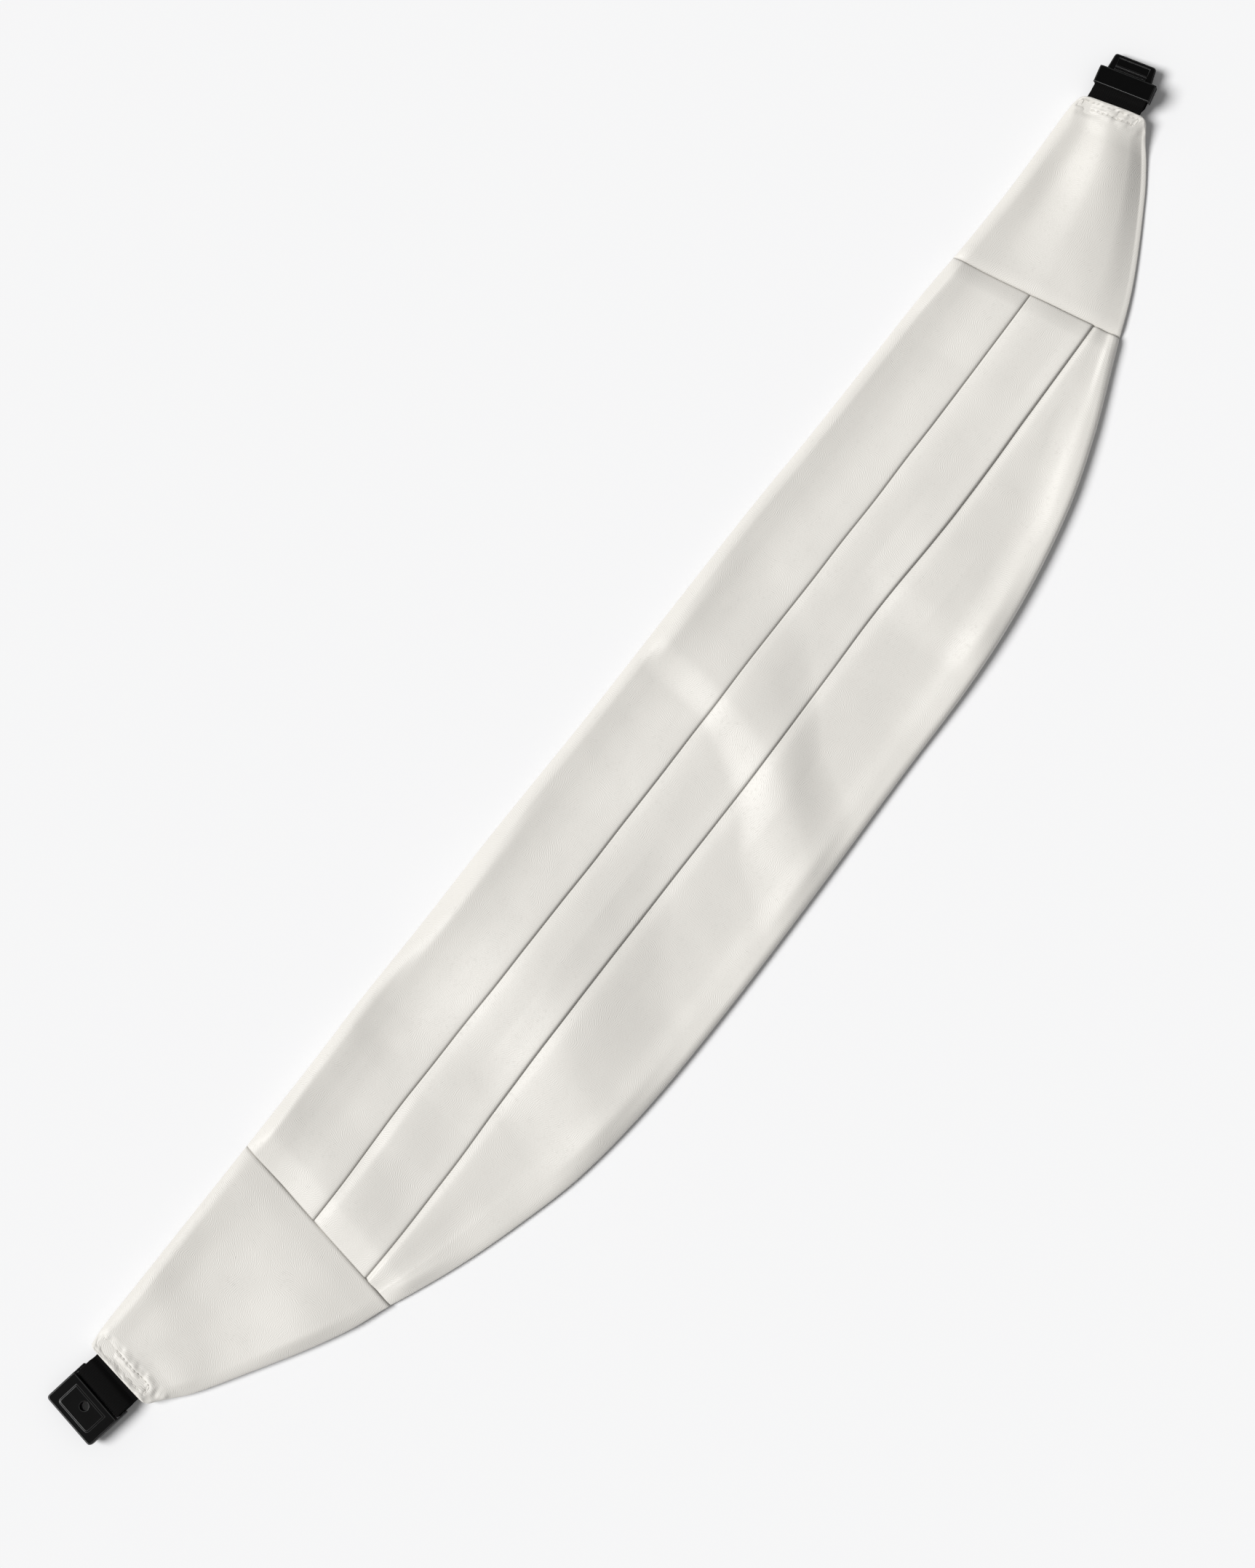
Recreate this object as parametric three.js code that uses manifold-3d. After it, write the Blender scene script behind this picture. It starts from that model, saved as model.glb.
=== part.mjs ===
// Cummerbund lying face up: a front of cloth with two knife pleats between two
// tapered tabs. Each tab ends in a stub of folded elastic that carries one half
// of a plastic clasp. Millimetres, +Z up, cloth on the plane z = 0.
// +X runs from the socket half to the plug half, +Y towards the straight edge.

import * as THREE from 'three';
import { mergeVertices } from 'three/addons/utils/BufferGeometryUtils.js';
import Module from 'manifold-3d';

const wasm = await Module();
wasm.setup();

// Cloth sizes
const frontLength = 664;
const frontHeight = 121.6;
const clothThickness = 1.0;
const plyGap = 0.3;
const pleatDepth = 8.5;
const rimPlies = 1.6;
const pieceGap = 0.35;

// Elastic sizes
const socketStrapWidth = 25;
const plugStrapWidth = 22.8;
const strapThickness = 1.0;
const strapInTab = 14;
const strapPastHem = 1.2;

// Clasp sizes shared by both halves
const barLength = 3.4;
const barThickness = 2.2;
const armThickness = 0.65;
const armHeight = 2.6;
const strapToBar = 6.6;
const claspBevel = 0.4;

// Socket half
const socketLength = 15.6;
const socketThickness = 4.4;
const socketCorner = 1.6;
const padWidth = 17.8;
const padLength = 10.2;
const padRise = 0.5;
const eyeletRadius = 1.95;
const eyeletFromMouth = 9.4;
const mouthDepth = 8.3;
const mouthClearance = 0.3;

// Plug half
const hoodLength = 6.9;
const hoodThickness = 1.35;
const hoodLead = 1.1;
const webLength = 1.5;
const webThickness = 3.2;
const tongueLength = 7.3;
const tongueWidth = 20;
const tongueTaper = 0.8;
const tongueThickness = 1.9;
const ribWidth = 0.7;
const ribRise = 0.7;
const ribSpan = 13.6;
const recessLength = 3.0;
const recessDepth = 0.6;

// Outline of the cloth. along: share of frontLength from the socket end.
// top, bottom: how far the edge lies below the straight edge, as a share of
// frontHeight.
const outline = [
  { along: -0.006, top: 0.014, bottom: 0.257 },
  { along: 0.005, top: 0.006, bottom: 0.298 },
  { along: 0.018, top: 0.000, bottom: 0.350 },
  { along: 0.048, top: 0.001, bottom: 0.451 },
  { along: 0.094, top: 0.003, bottom: 0.596 },
  { along: 0.139, top: 0.005, bottom: 0.712 },
  { along: 0.184, top: 0.006, bottom: 0.813 },
  { along: 0.229, top: 0.006, bottom: 0.892 },
  { along: 0.274, top: 0.003, bottom: 0.952 },
  { along: 0.335, top: 0.007, bottom: 0.988 },
  { along: 0.410, top: 0.007, bottom: 0.997 },
  { along: 0.500, top: 0.015, bottom: 0.989 },
  { along: 0.591, top: 0.015, bottom: 0.973 },
  { along: 0.666, top: 0.016, bottom: 0.963 },
  { along: 0.726, top: 0.023, bottom: 0.929 },
  { along: 0.786, top: 0.025, bottom: 0.861 },
  { along: 0.832, top: 0.026, bottom: 0.775 },
  { along: 0.877, top: 0.036, bottom: 0.668 },
  { along: 0.922, top: 0.039, bottom: 0.557 },
  { along: 0.967, top: 0.031, bottom: 0.413 },
  { along: 0.985, top: 0.029, bottom: 0.343 },
  { along: 0.994, top: 0.038, bottom: 0.300 },
  { along: 1.006, top: 0.050, bottom: 0.248 },
];

// Pleat folds. first, second: how far each fold lies below the straight edge,
// as a share of frontHeight.
const pleatLines = [
  { along: 0.130, first: 0.342, second: 0.598 },
  { along: 0.184, first: 0.340, second: 0.604 },
  { along: 0.229, first: 0.333, second: 0.602 },
  { along: 0.274, first: 0.332, second: 0.594 },
  { along: 0.335, first: 0.334, second: 0.584 },
  { along: 0.500, first: 0.336, second: 0.584 },
  { along: 0.591, first: 0.331, second: 0.577 },
  { along: 0.666, first: 0.331, second: 0.567 },
  { along: 0.741, first: 0.330, second: 0.572 },
  { along: 0.832, first: 0.322, second: 0.558 },
  { along: 0.890, first: 0.315, second: 0.545 },
];

// Slanted lines across the cloth, as shares of frontLength at each edge.
const leftHem = { top: 0.0044, bottom: -0.0029 };
const leftSeam = { top: 0.1614, bottom: 0.1381 };
const rightSeam = { top: 0.8655, bottom: 0.8893 };
const rightHem = { top: 0.9941, bottom: 1.0057 };

// Soft waves in the front. along, below: centre as shares of frontLength and
// frontHeight. reachAlong, reachBelow: half widths as the same shares.
// lift: height as a share of clothThickness.
const softWaves = [
  { along: 0.300, below: 0.480, reachAlong: 0.060, reachBelow: 0.16, lift: 0.7 },
  { along: 0.290, below: 0.780, reachAlong: 0.070, reachBelow: 0.22, lift: 0.6 },
  { along: 0.555, below: 0.160, reachAlong: 0.050, reachBelow: 0.20, lift: 0.7 },
  { along: 0.545, below: 0.470, reachAlong: 0.050, reachBelow: 0.16, lift: 0.7 },
  { along: 0.490, below: 0.800, reachAlong: 0.060, reachBelow: 0.22, lift: 0.8 },
  { along: 0.680, below: 0.770, reachAlong: 0.050, reachBelow: 0.22, lift: 0.6 },
];

// Height of a tab along its length. along: share from the seam to the hem.
// fill: share of clothThickness that the front ply bulges over the elastic.
const tabFill = [
  { along: 0.00, fill: 0.00 },
  { along: 0.04, fill: 0.40 },
  { along: 0.30, fill: 0.70 },
  { along: 0.75, fill: 0.80 },
  { along: 0.92, fill: 0.35 },
  { along: 0.955, fill: 0.05 },
  { along: 1.00, fill: 0.15 },
];

// How each end of the belt lies. width: width of its elastic.
// yaw: direction that the elastic points in.
// below: where its centre line crosses the hem, as a share of frontHeight.
// hemRoll, claspRoll: how far the curved-edge side is raised at the hem and at
// the clasp. sway: how far the elastic drifts sideways, as a share of its width.
// twist: share of frontLength over which the tab rolls up.
const radians = Math.PI / 180;
const leftEnd = {
  side: -1, width: socketStrapWidth, along: 0, below: 0.1435, yaw: 170.8 * radians,
  hemRoll: 5 * radians, claspRoll: 8 * radians, sway: 0, twist: 0.045,
};
const rightEnd = {
  side: 1, width: plugStrapWidth, along: 1, below: 0.1435, yaw: 14 * radians,
  hemRoll: 8 * radians, claspRoll: 12 * radians, sway: -0.05, twist: 0.045,
};

// Number of sections across the panel and each tab
const panelSections = 26;
const tabSections = 12;

// Heights worked out from the plies
const plyPitch = clothThickness + plyGap;
const strapStack = 2 * strapThickness + plyGap;
const strapMiddle = clothThickness + pieceGap + strapStack / 2;
const strapPlyIn = (strapThickness + plyGap) / 2;
const strapPlyBar = (barThickness + strapThickness) / 2 + pieceGap;
const barFar = strapToBar + barLength;
const claspRoot = barFar + strapThickness + 2 * pieceGap;
const socketWidth = socketStrapWidth + 2 * (pieceGap + armThickness);
const plugWidth = plugStrapWidth + 2 * (pieceGap + armThickness);

function ply(count) {
  return clothThickness / 2 + count * plyPitch;
}

function mix(from, to, share) {
  return from + (to - from) * share;
}

function smooth(share) {
  const held = Math.min(Math.max(share, 0), 1);
  return held * held * (3 - 2 * held);
}

// A smooth curve through one column of a table.
function read(table, column, along) {
  const last = table.length - 1;
  let row = 0;
  while (row < last - 1 && table[row + 1].along <= along) row += 1;
  const start = table[row];
  const end = table[row + 1];
  const before = table[Math.max(row - 1, 0)];
  const after = table[Math.min(row + 2, last)];
  const span = end.along - start.along;
  const share = Math.min(Math.max((along - start.along) / span, 0), 1);
  const slopeIn = span * (end[column] - before[column]) / (end.along - before.along);
  const slopeOut = span * (after[column] - start[column]) / (after.along - start.along);
  const square = share * share;
  const cube = square * share;
  return start[column] * (2 * cube - 3 * square + 1) + slopeIn * (cube - 2 * square + share)
    + end[column] * (3 * square - 2 * cube) + slopeOut * (cube - square);
}

// A closed mesh with its faces pointing out.
function closedMesh(points, faces) {
  const geometry = new THREE.BufferGeometry();
  geometry.setAttribute('position', new THREE.Float32BufferAttribute(points, 3));
  const corner = (index) => new THREE.Vector3().fromArray(points, 3 * index);
  let volume = 0;
  for (const [a, b, c] of faces) volume += corner(a).dot(corner(b).cross(corner(c)));
  const outward = volume > 0 ? faces : faces.map(([a, b, c]) => [a, c, b]);
  geometry.setIndex(outward.flat());
  return geometry;
}

// A sheet of even thickness, swept through sections. Each section lists the
// sheet's centre line as { across, rise }, and place puts a point of a section
// in space. A looped sheet joins its last point to its first.
function sweptSheet(sections, thickness, looped, place) {
  const count = sections[0].length;
  const points = [];
  sections.forEach((line, section) => {
    line.forEach((point, index) => {
      const before = line[looped ? (index + count - 1) % count : Math.max(index - 1, 0)];
      const after = line[looped ? (index + 1) % count : Math.min(index + 1, count - 1)];
      const run = new THREE.Vector2(after.across - before.across, after.rise - before.rise);
      run.normalize().multiplyScalar(thickness / 2);
      const outer = place(section, point.across - run.y, point.rise + run.x);
      const inner = place(section, point.across + run.y, point.rise - run.x);
      points.push(...outer.toArray(), ...inner.toArray());
    });
  });
  const outer = (section, index) => 2 * (section * count + index % count);
  const inner = (section, index) => outer(section, index) + 1;
  const faces = [];
  const quad = (a, b, c, d) => faces.push([a, b, c], [a, c, d]);
  const strips = looped ? count : count - 1;
  const last = sections.length - 1;
  for (let section = 0; section < last; section += 1) {
    const next = section + 1;
    for (let index = 0; index < strips; index += 1) {
      const step = index + 1;
      quad(outer(section, index), outer(section, step), outer(next, step), outer(next, index));
      quad(inner(section, index), inner(next, index), inner(next, step), inner(section, step));
    }
    if (!looped) {
      const end = count - 1;
      quad(inner(section, 0), outer(section, 0), outer(next, 0), inner(next, 0));
      quad(outer(section, end), inner(section, end), inner(next, end), outer(next, end));
    }
  }
  for (let index = 0; index < strips; index += 1) {
    const step = index + 1;
    quad(outer(0, index), inner(0, index), inner(0, step), outer(0, step));
    quad(outer(last, index), outer(last, step), inner(last, step), inner(last, index));
  }
  return closedMesh(points, faces);
}

// A round turn of cloth whose outside touches edge. side is 1 for a turn that
// faces the straight edge and -1 for one that faces the curved edge.
function turn(edge, from, to, side) {
  const radius = Math.abs(to - from) / 2;
  const centre = edge - side * (radius + clothThickness / 2);
  const line = [];
  for (let step = 0; step <= 4; step += 1) {
    const angle = Math.PI * (step / 4 - 0.5);
    line.push({
      across: centre + side * radius * Math.cos(angle),
      rise: (from + to) / 2 + (to - from) / 2 * Math.sin(angle),
    });
  }
  return line;
}

// The straight line across the cloth between two edge points of a section.
function sectionLine(topAlong, bottomAlong) {
  const top = -frontHeight * read(outline, 'top', topAlong);
  const bottom = -frontHeight * read(outline, 'bottom', bottomAlong);
  const alongAt = (across) => mix(topAlong, bottomAlong, (top - across) / (top - bottom));
  return { top, bottom, alongAt };
}

function waveLift(along, across) {
  let lift = 0;
  for (const wave of softWaves) {
    const far = Math.hypot(
      (along - wave.along) / wave.reachAlong,
      (-across / frontHeight - wave.below) / wave.reachBelow,
    );
    lift += clothThickness * wave.lift * smooth(1 - far);
  }
  return lift;
}

// Centre line of the pleated front and its plain back, as one loop.
function panelSection(line) {
  const { top, bottom, alongAt } = line;
  const first = -frontHeight * read(pleatLines, 'first', alongAt(mix(top, bottom, 0.34)));
  const second = -frontHeight * read(pleatLines, 'second', alongAt(mix(top, bottom, 0.6)));
  const rim = ply(rimPlies);
  const loop = [];
  const flat = (across, rise) => loop.push({ across, rise });
  const raised = (across, rise) => flat(across, rise + waveLift(alongAt(across), across));
  for (const share of [0.25, 0.5, 0.75]) flat(mix(bottom, top, share), ply(0));
  loop.push(...turn(top, ply(0), rim, 1));
  raised(mix(top, first, 0.25), rim + 0.5 * plyGap);
  raised(mix(top, first, 0.55), mix(rim, ply(1), 0.4));
  raised(mix(top, first, 0.85), mix(rim, ply(1), 0.85));
  flat(first, ply(1));
  loop.push(...turn(first - pleatDepth, ply(1), ply(2), -1));
  loop.push(...turn(first, ply(2), ply(3), 1));
  const pastFirst = first - pleatDepth - clothThickness;
  raised(pastFirst, ply(3));
  raised(mix(pastFirst, second, 0.4), ply(2.3));
  raised(mix(pastFirst, second, 0.8), ply(1.3));
  flat(second, ply(1));
  loop.push(...turn(second - pleatDepth, ply(1), ply(2), -1));
  loop.push(...turn(second, ply(2), ply(3), 1));
  const pastSecond = second - pleatDepth - clothThickness;
  const rolled = bottom + (rim - ply(0) + clothThickness) / 2;
  raised(pastSecond, ply(3));
  raised(mix(pastSecond, rolled, 0.4), mix(ply(3), rim, 0.35));
  raised(mix(pastSecond, rolled, 0.75), mix(ply(3), rim, 0.75));
  loop.push(...turn(bottom, rim, ply(0), -1));
  return loop;
}

function panelGeometry() {
  const setBack = pieceGap / frontLength;
  const lines = [];
  for (let section = 0; section < panelSections; section += 1) {
    const share = section / (panelSections - 1);
    lines.push(sectionLine(
      mix(leftSeam.top + setBack, rightSeam.top - setBack, share),
      mix(leftSeam.bottom + setBack, rightSeam.bottom - setBack, share),
    ));
  }
  return sweptSheet(lines.map(panelSection), clothThickness, true, (section, across, rise) => (
    new THREE.Vector3(frontLength * lines[section].alongAt(across), across, rise)
  ));
}

// Roll of the elastic and of the cloth round it, at a distance past the hem.
function rollAt(end, distance) {
  if (distance <= 0) {
    return end.hemRoll * smooth(1 + distance / (end.twist * frontLength));
  }
  return mix(end.hemRoll, end.claspRoll, smooth(distance / strapToBar));
}

// Plan position of the elastic's edge on the straight-edge side.
function pinnedEdge(end, distance) {
  const atHem = end.width / 2 * Math.cos(end.hemRoll);
  return atHem + end.sway * end.width * smooth(distance / strapToBar);
}

// A point given by its distance past the hem, its plan offset and its height.
function hemPoint(end, distance, offset, height) {
  const cos = Math.cos(end.yaw);
  const sin = Math.sin(end.yaw);
  return new THREE.Vector3(
    frontLength * end.along + distance * cos - end.side * offset * sin,
    -frontHeight * end.below + distance * sin + end.side * offset * cos,
    height,
  );
}

// How far a point of a tab is raised where the tab rolls with its elastic.
function tabLift(end, x, y) {
  const dx = x - frontLength * end.along;
  const dy = y + frontHeight * end.below;
  const distance = dx * Math.cos(end.yaw) + dy * Math.sin(end.yaw);
  const offset = end.side * (dy * Math.cos(end.yaw) - dx * Math.sin(end.yaw));
  const inside = pinnedEdge(end, distance) - offset;
  const held = Math.min(Math.max(inside, 0), end.width + clothThickness);
  return held * Math.tan(rollAt(end, distance));
}

function tabSection(line, fill) {
  const { top, bottom } = line;
  const front = strapMiddle + strapStack / 2 + pieceGap + clothThickness / 2;
  const loop = [];
  for (const share of [0.2, 0.4, 0.6, 0.8]) {
    loop.push({ across: mix(bottom, top, share), rise: ply(0) });
  }
  loop.push(...turn(top, ply(0), front, 1));
  for (const share of [0.14, 0.32, 0.5, 0.68, 0.86]) {
    const crown = Math.sin(Math.PI * share) * fill * clothThickness;
    loop.push({ across: mix(top, bottom, share), rise: front + crown });
  }
  loop.push(...turn(bottom, front, ply(0), -1));
  return loop;
}

function tabGeometry(seam, hem, end) {
  const lines = [];
  const sections = [];
  for (let section = 0; section < tabSections; section += 1) {
    const share = section / (tabSections - 1);
    const line = sectionLine(mix(seam.top, hem.top, share), mix(seam.bottom, hem.bottom, share));
    lines.push(line);
    sections.push(tabSection(line, read(tabFill, 'fill', share)));
  }
  return sweptSheet(sections, clothThickness, true, (section, across, rise) => {
    const x = frontLength * lines[section].alongAt(across);
    return new THREE.Vector3(x, across, rise + tabLift(end, x, across));
  });
}

// The elastic: in from the hem, round the clasp's bar and back into the tab.
function strapGeometry(end) {
  const line = [];
  const inside = [-strapInTab, -0.6 * strapInTab, -0.3 * strapInTab, strapPastHem];
  for (const distance of inside) line.push({ across: distance, rise: strapPlyIn });
  line.push({ across: 0.6 * strapToBar, rise: strapPlyBar });
  const centre = barFar + pieceGap + strapThickness / 2 - strapPlyBar;
  const steps = 6;
  for (let step = 0; step <= steps; step += 1) {
    const angle = Math.PI * (0.5 - step / steps);
    line.push({
      across: centre + strapPlyBar * Math.cos(angle),
      rise: strapPlyBar * Math.sin(angle),
    });
  }
  line.push({ across: 0.6 * strapToBar, rise: -strapPlyBar });
  for (const distance of inside.reverse()) line.push({ across: distance, rise: -strapPlyIn });
  const edges = [-end.width / 2, end.width / 2];
  return sweptSheet([line, line], strapThickness, false, (section, distance, rise) => {
    const roll = rollAt(end, distance);
    const lean = end.claspRoll * smooth((distance - strapPastHem) / (0.6 * strapToBar - strapPastHem));
    const inward = end.width / 2 - edges[section];
    const offset = pinnedEdge(end, distance) - inward * Math.cos(roll) + rise * Math.sin(lean);
    const height = strapMiddle + inward * Math.sin(roll) + rise * Math.cos(lean);
    return hemPoint(end, distance, offset, height);
  });
}

function toSolid(geometry) {
  const bare = geometry.clone();
  bare.deleteAttribute('normal');
  bare.deleteAttribute('uv');
  const merged = mergeVertices(bare, 1e-4);
  return new wasm.Manifold(new wasm.Mesh({
    numProp: 3,
    vertProperties: new Float32Array(merged.attributes.position.array),
    triVerts: new Uint32Array(merged.index.array),
  }));
}

function toGeometry(solid) {
  const mesh = solid.getMesh();
  const geometry = new THREE.BufferGeometry();
  geometry.setAttribute('position', new THREE.BufferAttribute(mesh.vertProperties, 3));
  geometry.setIndex(new THREE.BufferAttribute(mesh.triVerts, 1));
  return geometry;
}

// A block between two corners.
function block(low, high) {
  const size = high.map((value, axis) => value - low[axis]);
  const geometry = new THREE.BoxGeometry(...size);
  geometry.translate(...low.map((value, axis) => value + size[axis] / 2));
  return toSolid(geometry);
}

// A flat plate with rounded far corners and a bevel all round.
function plate(from, to, nearWidth, farWidth, corner, low, high, bevel) {
  const shape = new THREE.Shape();
  const nearHalf = nearWidth / 2 - bevel;
  const farHalf = farWidth / 2 - bevel;
  const far = to - bevel;
  const round = corner - bevel;
  shape.moveTo(from + bevel, -nearHalf);
  shape.lineTo(far - round, -farHalf);
  shape.quadraticCurveTo(far, -farHalf, far, -farHalf + round);
  shape.lineTo(far, farHalf - round);
  shape.quadraticCurveTo(far, farHalf, far - round, farHalf);
  shape.lineTo(from + bevel, nearHalf);
  shape.closePath();
  const geometry = new THREE.ExtrudeGeometry(shape, {
    depth: high - low - 2 * bevel,
    bevelEnabled: true,
    bevelSize: bevel,
    bevelThickness: bevel,
    bevelSegments: 1,
    curveSegments: 3,
  });
  geometry.translate(0, 0, low + bevel);
  return toSolid(geometry);
}

// The round-edged bar that the elastic is looped over, with its two side arms.
function strapBar(width, armEnd) {
  const radius = barThickness / 2;
  const shape = new THREE.Shape();
  shape.absarc(strapToBar + radius, 0, radius, Math.PI / 2, 1.5 * Math.PI, false);
  shape.absarc(barFar - radius, 0, radius, 1.5 * Math.PI, 2.5 * Math.PI, false);
  const geometry = new THREE.ExtrudeGeometry(shape, {
    depth: width,
    bevelEnabled: false,
    curveSegments: 6,
  });
  geometry.rotateX(Math.PI / 2);
  geometry.translate(0, width / 2, 0);
  let bar = toSolid(geometry);
  for (const side of [-1, 1]) {
    const inner = side * (width / 2 - armThickness);
    const outer = side * width / 2;
    bar = bar.add(block(
      [strapToBar, Math.min(inner, outer), -armHeight / 2],
      [armEnd, Math.max(inner, outer), armHeight / 2],
    ));
  }
  return bar;
}

function socketGeometry() {
  const far = claspRoot + socketLength;
  const half = socketThickness / 2;
  const mouthHeight = tongueThickness + 2 * mouthClearance;
  const mouthWidth = tongueWidth + 2 * mouthClearance;
  const eyelet = new THREE.CylinderGeometry(eyeletRadius, eyeletRadius, 3 * socketThickness, 20);
  eyelet.rotateX(Math.PI / 2);
  eyelet.translate(far - eyeletFromMouth, 0, 0);
  const padFrom = far - (socketLength - padLength) / 2 - padLength;
  const body = plate(claspRoot, far, socketWidth, socketWidth, socketCorner, -half, half, claspBevel)
    .add(plate(padFrom, padFrom + padLength, padWidth, padWidth, socketCorner,
      half - 2 * claspBevel, half + padRise, claspBevel))
    .add(strapBar(socketWidth, claspRoot + 2 * claspBevel))
    .subtract(block(
      [far - mouthDepth, -mouthWidth / 2, -mouthHeight / 2],
      [far + mouthDepth, mouthWidth / 2, mouthHeight / 2],
    ))
    .subtract(toSolid(eyelet));
  return toGeometry(body);
}

function plugGeometry() {
  const hoodLow = strapPlyBar + strapThickness / 2 + pieceGap;
  const hoodHigh = hoodLow + hoodThickness;
  const hoodFrom = strapToBar - hoodLead;
  const hoodTo = hoodFrom + hoodLength;
  const webTo = Math.max(claspRoot + webLength, hoodTo);
  const tongueTo = webTo + tongueLength;
  const half = tongueThickness / 2;
  const wide = plugWidth / 2;
  const narrow = tongueWidth - 2 * tongueTaper;
  let body = strapBar(plugWidth, claspRoot + webLength / 2)
    .add(plate(hoodFrom, webTo, plugWidth, plugWidth, 3 * claspBevel, hoodLow, hoodHigh, claspBevel))
    .add(block([claspRoot, -wide, -webThickness / 2], [webTo, wide, hoodLow + claspBevel]))
    .add(plate(claspRoot + webLength / 2, tongueTo, tongueWidth, narrow, 1.5, -half, half, claspBevel));
  for (const side of [-1, 1]) {
    const inner = side * (wide - armThickness);
    body = body.add(block(
      [hoodFrom + claspBevel, Math.min(inner, side * wide), -armHeight / 2],
      [webTo, Math.max(inner, side * wide), hoodLow + claspBevel],
    ));
  }
  for (const ribFrom of [webTo + ribWidth, webTo + 3 * ribWidth]) {
    body = body.add(block(
      [ribFrom, -ribSpan / 2, 0],
      [ribFrom + ribWidth, ribSpan / 2, half + ribRise],
    ));
  }
  const recessFrom = webTo + 4.2 * ribWidth;
  body = body.subtract(block(
    [recessFrom, -ribSpan / 2, half - recessDepth],
    [recessFrom + recessLength, ribSpan / 2, 2 * half],
  ));
  return toGeometry(body);
}

// Places a clasp half, drawn with the elastic's centre line along its X axis.
function claspGroup(mesh, end) {
  const roll = end.claspRoll;
  const inward = end.width / 2;
  const offset = pinnedEdge(end, strapToBar) - inward * Math.cos(roll);
  const place = hemPoint(end, 0, offset, strapMiddle + inward * Math.sin(roll));
  const group = new THREE.Group();
  group.position.copy(place);
  group.rotation.set(-end.side * roll, 0, end.yaw, 'ZYX');
  group.add(mesh);
  return group;
}

const clothMaterial = new THREE.MeshStandardMaterial({ color: 0xe6e2d8, roughness: 0.62, metalness: 0 });
const tabMaterial = new THREE.MeshStandardMaterial({ color: 0xe3dfd5, roughness: 0.62, metalness: 0 });
const elasticMaterial = new THREE.MeshStandardMaterial({ color: 0x121214, roughness: 0.85, metalness: 0 });
const plasticMaterial = new THREE.MeshStandardMaterial({ color: 0x0d0d0f, roughness: 0.35, metalness: 0 });

function named(name, geometry, material) {
  const mesh = new THREE.Mesh(geometry, material);
  mesh.name = name;
  return mesh;
}

const cummerbund = new THREE.Group();
cummerbund.add(named('pleated_front', panelGeometry(), clothMaterial));
cummerbund.add(named('left_tab', tabGeometry(leftSeam, leftHem, leftEnd), tabMaterial));
cummerbund.add(named('right_tab', tabGeometry(rightSeam, rightHem, rightEnd), tabMaterial));
cummerbund.add(named('left_elastic', strapGeometry(leftEnd), elasticMaterial));
cummerbund.add(named('right_elastic', strapGeometry(rightEnd), elasticMaterial));
cummerbund.add(claspGroup(named('socket_clasp', socketGeometry(), plasticMaterial), leftEnd));
cummerbund.add(claspGroup(named('plug_clasp', plugGeometry(), plasticMaterial), rightEnd));

// The origin is the middle of the outline's box, on the surface it lies on.
const box = new THREE.Box3().setFromObject(cummerbund, true);
const middle = box.getCenter(new THREE.Vector3());
cummerbund.position.set(-middle.x, -middle.y, -box.min.z);
cummerbund.updateMatrixWorld(true);

export default cummerbund;
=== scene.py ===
import math

import bmesh
import bpy
import numpy as np
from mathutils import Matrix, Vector


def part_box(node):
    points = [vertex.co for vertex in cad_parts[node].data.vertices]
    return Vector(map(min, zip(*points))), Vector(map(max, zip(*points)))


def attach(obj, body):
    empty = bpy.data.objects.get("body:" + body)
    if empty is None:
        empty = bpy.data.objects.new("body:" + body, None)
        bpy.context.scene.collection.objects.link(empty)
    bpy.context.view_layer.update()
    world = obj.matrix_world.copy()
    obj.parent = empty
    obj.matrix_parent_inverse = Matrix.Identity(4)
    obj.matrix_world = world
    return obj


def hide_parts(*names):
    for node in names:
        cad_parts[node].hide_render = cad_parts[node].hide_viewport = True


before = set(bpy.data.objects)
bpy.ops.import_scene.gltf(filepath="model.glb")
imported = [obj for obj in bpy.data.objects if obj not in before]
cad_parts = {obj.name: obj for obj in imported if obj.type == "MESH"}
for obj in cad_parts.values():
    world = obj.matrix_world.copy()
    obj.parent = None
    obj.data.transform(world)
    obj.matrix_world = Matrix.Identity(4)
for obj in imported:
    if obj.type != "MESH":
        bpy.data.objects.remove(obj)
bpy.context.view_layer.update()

# Where it lies
# A smooth white table top, seen from straight above with a long lens. One broad
# light stands at the picture's left, and the white room fills its shadows.
mm = 0.001
picture_turn = math.radians(-51.92)
picture_middle = Vector((-7.4, 28.4, 0)) * mm
picture_height = 646.8 * mm
camera_above = 1.53
sensor = 36
light_tilt = math.radians(40)
light_spread = math.radians(27)
light_power = 3.25
room_light = 0.23
table_size = 8
table_white = (0.905, 0.905, 0.91, 1)
backdrop_white = (0.9, 0.9, 0.905, 1)

camera_data = bpy.data.cameras.new("camera")
camera_data.sensor_width = sensor
camera_data.lens = sensor * camera_above / picture_height
camera = bpy.data.objects.new("camera", camera_data)
camera.location = picture_middle + Vector((0, 0, camera_above))
camera.rotation_euler = (0, 0, picture_turn)
bpy.context.collection.objects.link(camera)
bpy.context.scene.camera = camera
bpy.context.scene.view_settings.view_transform = "Standard"

picture_left = Vector((-math.cos(picture_turn), -math.sin(picture_turn), 0))
to_light = picture_left * math.sin(light_tilt) + Vector((0, 0, math.cos(light_tilt)))
soft_light = bpy.data.lights.new("soft_light", "SUN")
soft_light.energy = light_power
soft_light.angle = light_spread
soft_light_stand = bpy.data.objects.new("soft_light", soft_light)
soft_light_stand.rotation_euler = to_light.to_track_quat("Z", "Y").to_euler()
bpy.context.collection.objects.link(soft_light_stand)

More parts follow.
